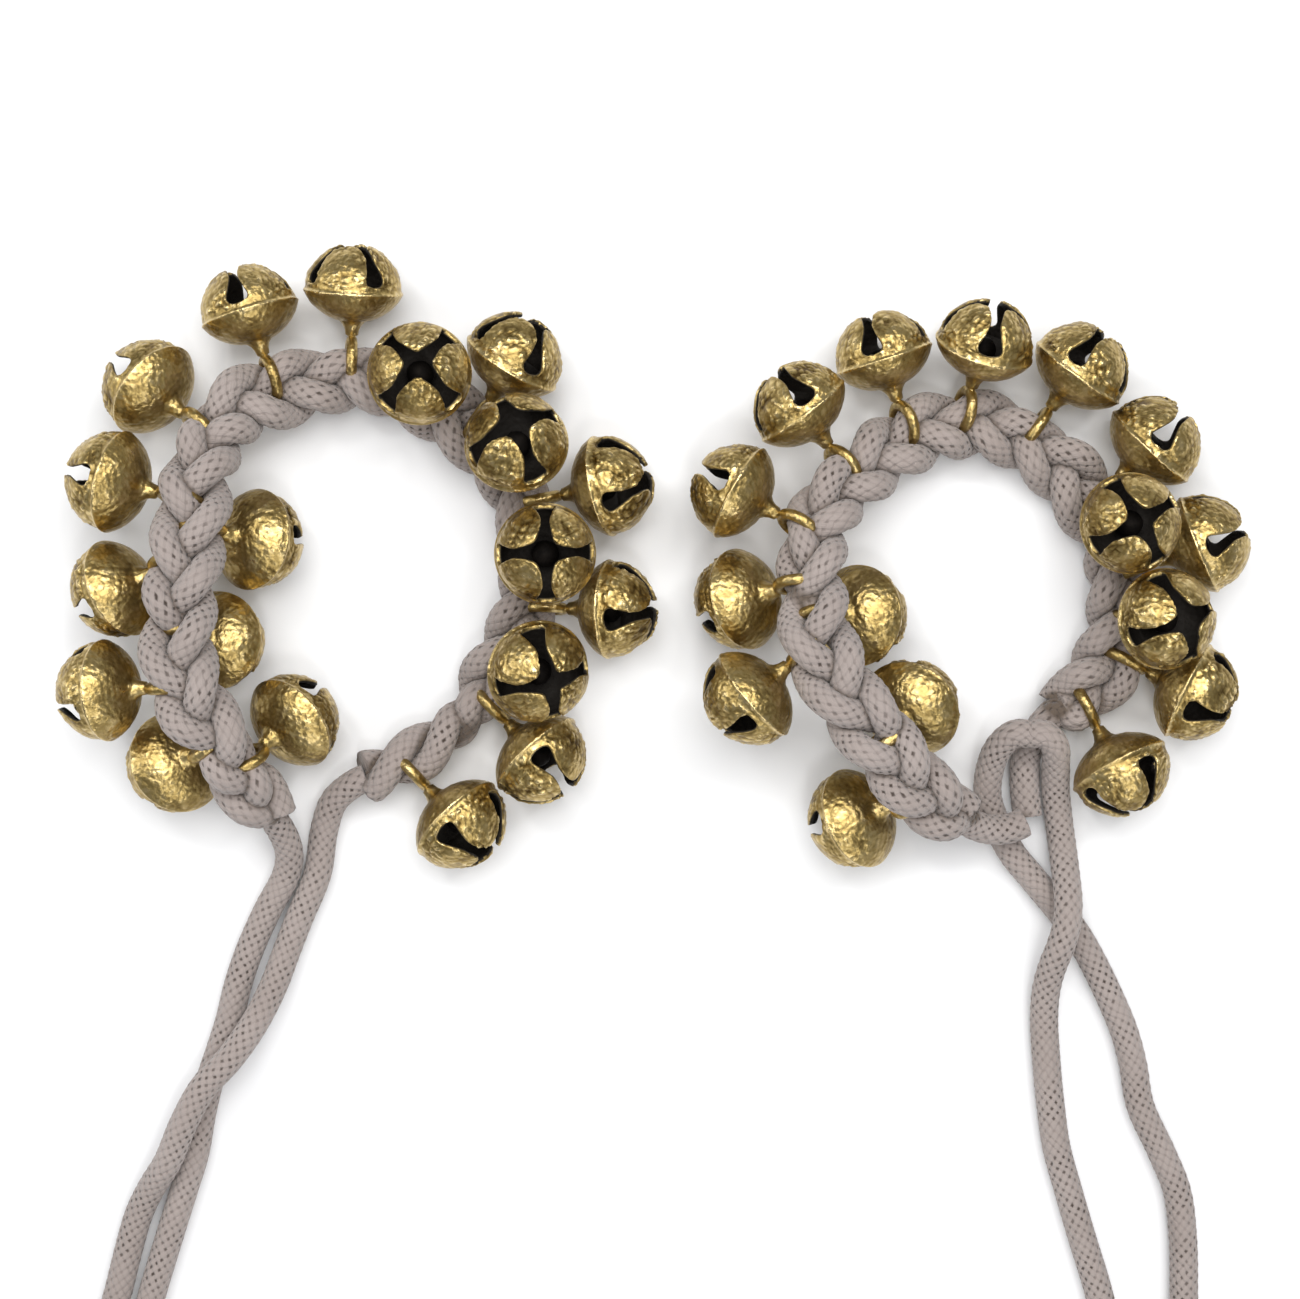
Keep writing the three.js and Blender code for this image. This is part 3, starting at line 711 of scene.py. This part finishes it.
# shell in mm round its own axis, its four slots opened along the meridians between the petals
def bellShell(seed, roll):
    form = bellForm
    quarter = math.pi / 4
    mesh = spunMesh("bellShell", [*form["shank"], *form["ridge"], *form["petals"]], form["segments"])
    bm = bmesh.new()
    bm.from_mesh(mesh)
    foot = form["slotFoot"]

    def onSlot(vert):
        angle = math.atan2(vert.co.y, vert.co.x) % (2 * quarter)
        return abs(angle - quarter) < 0.01 and vert.co.z > foot - 0.1

    bmesh.ops.split_edges(bm, edges=[e for e in bm.edges if onSlot(e.verts[0]) and onSlot(e.verts[1])])
    widens = [1 + form["slotVary"] * noise.noise((seed * 3.7, k * 2.3, 0.4)) for k in range(4)]
    dents = [form["petalVary"] * noise.noise((seed * 1.9, k * 4.1, 7.7)) for k in range(4)]
    moved = []
    for vert in bm.verts:
        x, y, z = vert.co
        spread = math.hypot(x, y)
        if z <= foot:
            continue
        middle = sum((f.calc_center_median() for f in vert.link_faces), Vector())
        petal = round(math.atan2(middle.y, middle.x) / (2 * quarter))
        offset = (math.atan2(y, x) - petal * 2 * quarter + math.pi) % math.tau - math.pi
        slot = (petal + (1 if offset > 0 else 0)) % 4
        half = min(slotHalf(z, widens[slot]) / spread, 0.62)
        tip = max(0, z - form["tipFrom"]) / (form["petals"][-1][1] - form["tipFrom"])
        blunt = form["tipRound"] * tip * abs(offset / quarter) ** 2.5
        pressed = dents[petal % 4] * (max(0, z - 4) / 6) ** 2
        spread += blunt - pressed
        angle = petal * 2 * quarter + offset * (quarter - half) / quarter
        moved.append((vert, (spread * math.cos(angle), spread * math.sin(angle), z - 0.45 * blunt)))
    for vert, place in moved:
        vert.co = place
    bmesh.ops.solidify(bm, geom=bm.faces, thickness=form["wall"])
    turn = math.radians(roll + form["slotTurn"]) - quarter
    bmesh.ops.rotate(bm, verts=bm.verts, cent=(0, 0, 0), matrix=Matrix.Rotation(turn, 3, "Z"))
    bm.to_mesh(mesh)
    bm.free()
    return mesh


# eye: a ring of wire whose hole runs along the bell's X
def eyeRing():
    form = bellForm
    bm = bmesh.new()
    wire = bmesh.ops.create_circle(bm, segments=12, radius=form["wire"])["verts"]
    bmesh.ops.rotate(bm, verts=wire, cent=(0, 0, 0), matrix=Matrix.Rotation(math.pi / 2, 3, "Y"))
    bmesh.ops.rotate(bm, verts=wire, cent=(0, 0, 0), matrix=Matrix.Rotation(math.pi / 2, 3, "Z"))
    bmesh.ops.translate(bm, verts=wire, vec=(0, 0, form["eyeMiddle"]))
    spinRound(bm, bm.verts[:] + bm.edges[:], (1, 0, 0), 32)
    bmesh.ops.translate(bm, verts=bm.verts, vec=(0, 0, -form["reach"]))
    mesh = bpy.data.meshes.new("eyeRing")
    bm.to_mesh(mesh)
    bm.free()
    return mesh


cutters = []
for name, mesh in (("neck", spunMesh("neck", bellForm["neck"], 24)), ("eye", eyeRing())):
    cutter = bpy.data.objects.new(name, mesh)
    scene.collection.objects.link(cutter)
    cutters.append(cutter)


def bellCasting(seed, roll):
    shell = bpy.data.objects.new("shell", bellShell(seed, roll))
    scene.collection.objects.link(shell)
    soften = shell.modifiers.new("soften", "SUBSURF")
    soften.levels = soften.render_levels = 1
    for cutter in cutters:
        join = shell.modifiers.new("join", "BOOLEAN")
        join.operation = "UNION"
        join.solver = "EXACT"
        join.object = cutter
    graph = bpy.context.evaluated_depsgraph_get()
    mesh = bpy.data.meshes.new_from_object(shell.evaluated_get(graph))
    bpy.data.objects.remove(shell)
    return mesh


def bellFrame(route, along, seat, swing, lean):
    form = bellForm
    run = along * plaitForm["pitch"]
    tangent = route.tangent(run)
    outward, upward = crossAxes(tangent)

    def roundPlait(angle):
        return outward * math.cos(math.radians(angle)) + upward * math.sin(math.radians(angle))

    pin = route.point(run) + roundPlait(seat) * plaitForm["pin"]
    tilt = math.radians(lean)
    if swing is None:  # the ridge comes down to the table
        slope = math.atan2(form["radius"], form["reach"])
        drop = (form["floorGap"] - pin[2] / mm) / math.hypot(form["radius"], form["reach"])
        rise = slope + math.asin(drop)
        swing = math.degrees(math.asin(math.sin(rise) / math.cos(tilt)))
    axis = roundPlait(swing) * math.cos(tilt) + tangent * math.sin(tilt)
    hinge = tangent - axis * tangent.dot(axis)
    hinge /= np.linalg.norm(hinge)
    centre = pin + axis * form["reach"] * mm
    return np.stack([hinge, np.cross(axis, hinge), axis], axis=1), centre


# the casting's rough skin: patches of pebbles on the petals, calmer on the shank half, the eye and the inside
def bellPiece(name, node, turn, centre, roll, seed, size):
    form = bellForm
    mesh = bellCasting(seed, roll)
    mesh.name = name
    count = len(mesh.vertices)
    local = np.empty(count * 3)
    normals = np.empty(count * 3)
    mesh.vertices.foreach_get("co", local)
    mesh.vertices.foreach_get("normal", normals)
    local = local.reshape(-1, 3)
    normals = normals.reshape(-1, 3)
    eye = local[:, 2] < form["neck"][2][1]
    # mask of the inside faces, which get painted shade
    inside = ((np.einsum("ij,ij->i", normals, local) < 0) & ~eye).astype(float)
    relief = np.empty(count)
    patch = np.empty(count)
    shift = Vector((seed * 17.3, seed * 5.1, seed * 9.7))
    for i, spot in enumerate(local):
        place = Vector(spot)
        drift = noise.noise_vector(place * 0.55 + shift) * 0.55
        near, far = noise.voronoi((place + drift) / form["pebbleSize"] + shift)[0][:2]
        relief[i] = min(1.0, (far - near) * 1.7) + 0.35 * noise.noise(place * 0.32 + shift)
        patch[i] = 0.6 + 0.9 * noise.noise(place * 0.17 + shift)
    onRim = np.hypot(local[:, 0], local[:, 1]) > form["rimFrom"]
    onRidge = np.clip(1.2 - np.abs(local[:, 2] - 0.05) / 0.5, 0, 1) * onRim
    cup = np.clip(local[:, 2] / 1.5, 0, 1)
    calm = (0.3 + 0.7 * cup) * np.clip(patch, 0.2, 1.1)
    calm = np.where(eye, 0.2, calm) * (1 - 0.85 * inside) * (1 - 0.8 * onRidge)
    local = local + normals * (form["pebble"] * calm * (relief - form["pebbleSunk"]))[:, None]
    # colour relief: painted highlight on the pebble tops and painted shade between them, and the ridge
    # painted brighter as a highlight line
    relief = 0.55 + (relief - 0.55) * (0.35 + 0.65 * np.clip(calm, 0, 1)) + 0.3 * onRidge
    mesh.vertices.foreach_set("co", (local * size * mm @ turn.T + centre).ravel())
    mesh.attributes.new("relief", "FLOAT", "POINT").data.foreach_set("value", np.clip(relief, 0, 1))
    mesh.attributes.new("inside", "FLOAT", "POINT").data.foreach_set("value", inside)
    mesh.polygons.foreach_set("use_smooth", [True] * len(mesh.polygons))
    mesh.materials.clear()
    mesh.materials.append(brassLook)
    piece = bpy.data.objects.new(name, mesh)
    scene.collection.objects.link(piece)
    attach(piece, node)
    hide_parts(node)


# the shot rests at the low side of its bell: 4.7 mm down in one that lies, 1.2 mm in one that stands
pelletForm = {"radius": 2.8, "aside": 4.7, "below": 1.2}


def pelletPiece(name, body, node, centre, seed):
    bm = bmesh.new()
    ball = bmesh.ops.create_icosphere(bm, subdivisions=3, radius=pelletForm["radius"] * 0.97 * mm)["verts"]
    for vert in ball:
        vert.co *= 1 + 0.03 * noise.noise(vert.co / mm * 0.9 + Vector((seed, 0, 0)))
    bmesh.ops.translate(bm, verts=ball, vec=centre)
    mesh = bpy.data.meshes.new(name)
    bm.to_mesh(mesh)
    bm.free()
    mesh.polygons.foreach_set("use_smooth", [True] * len(mesh.polygons))
    mesh.materials.append(ironLook)
    piece = bpy.data.objects.new(name, mesh)
    scene.collection.objects.link(piece)
    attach(piece, body)
    if node:
        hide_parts(node)


for side, route, bells in (("left", leftRoute, leftBells), ("right", rightRoute, rightBells)):
    for i, (along, seat, swing, lean, roll) in enumerate(bells):
        number = f"{i + 1:02d}"
        turn, centre = bellFrame(route, along, seat, swing, lean)
        seed = i + (0 if side == "left" else 40)
        size = bellForm["smaller"] if i + 1 in smallerBells[side] else 1.0
        bellPiece(f"{side}Bell{number}", f"{side}_bell_{number}", turn, centre, roll, seed, size)
        upright = turn[2, 2]
        lying = math.sqrt(1 - upright**2)
        drop = 1 / math.hypot(lying / pelletForm["aside"], upright / pelletForm["below"])
        low = centre - up * drop * mm
        pellet = f"{side}_pellet_{number}"
        ownBody = pellet in frame["bodies"]
        body = pellet if ownBody else f"{side}_bell_{number}"
        pelletPiece(f"{side}Pellet{number}", body, pellet if ownBody else None, low, seed)
for cutter in cutters:
    bpy.data.objects.remove(cutter)
print("bells made")

# pale floor and soft light
stage = {"floor": 12.0, "floorColour": (0.86, 0.86, 0.86)}
bm = bmesh.new()
bmesh.ops.create_grid(bm, x_segments=1, y_segments=1, size=stage["floor"])
floorMesh = bpy.data.meshes.new("floor")
bm.to_mesh(floorMesh)
bm.free()
floorLook, floorTree, floorShader = newMaterial("paleFloor")
floorShader.inputs["Base Color"].default_value = (*stage["floorColour"], 1)
floorShader.inputs["Roughness"].default_value = 0.9
floorShader.inputs["Specular IOR Level"].default_value = 0.1
floorMesh.materials.append(floorLook)
floor = bpy.data.objects.new("floor", floorMesh)
floor.location = (0, 0, -0.0004)
scene.collection.objects.link(floor)

lights = [
    ("overhead", (0.05, 0.25, 0.9), 0.7, 7.5),
    ("leftSide", (-0.8, 0.1, 0.5), 0.5, 2.5),
    ("front", (0.3, -0.8, 0.6), 0.5, 2.5),
    ("sparkleLeft", (-0.35, 0.4, 0.75), 0.12, 0.9),
    ("sparkleMiddle", (0.05, -0.3, 0.85), 0.12, 0.9),
    ("sparkleRight", (0.45, 0.3, 0.7), 0.12, 0.9),
]
for name, place, size, power in lights:
    lightData = bpy.data.lights.new(name, "AREA")
    lightData.size = size
    lightData.energy = power
    light = bpy.data.objects.new(name, lightData)
    light.location = place
    light.rotation_euler = (-Vector(place)).to_track_quat("-Z", "Y").to_euler()
    scene.collection.objects.link(light)
world = bpy.data.worlds.new("studio")
world.use_nodes = True
background = world.node_tree.nodes["Background"]
background.inputs["Color"].default_value = (0.9, 0.93, 1.0, 1)
background.inputs["Strength"].default_value = 0.3
scene.world = world
scene.view_settings.view_transform = "Standard"
print("stage lit")
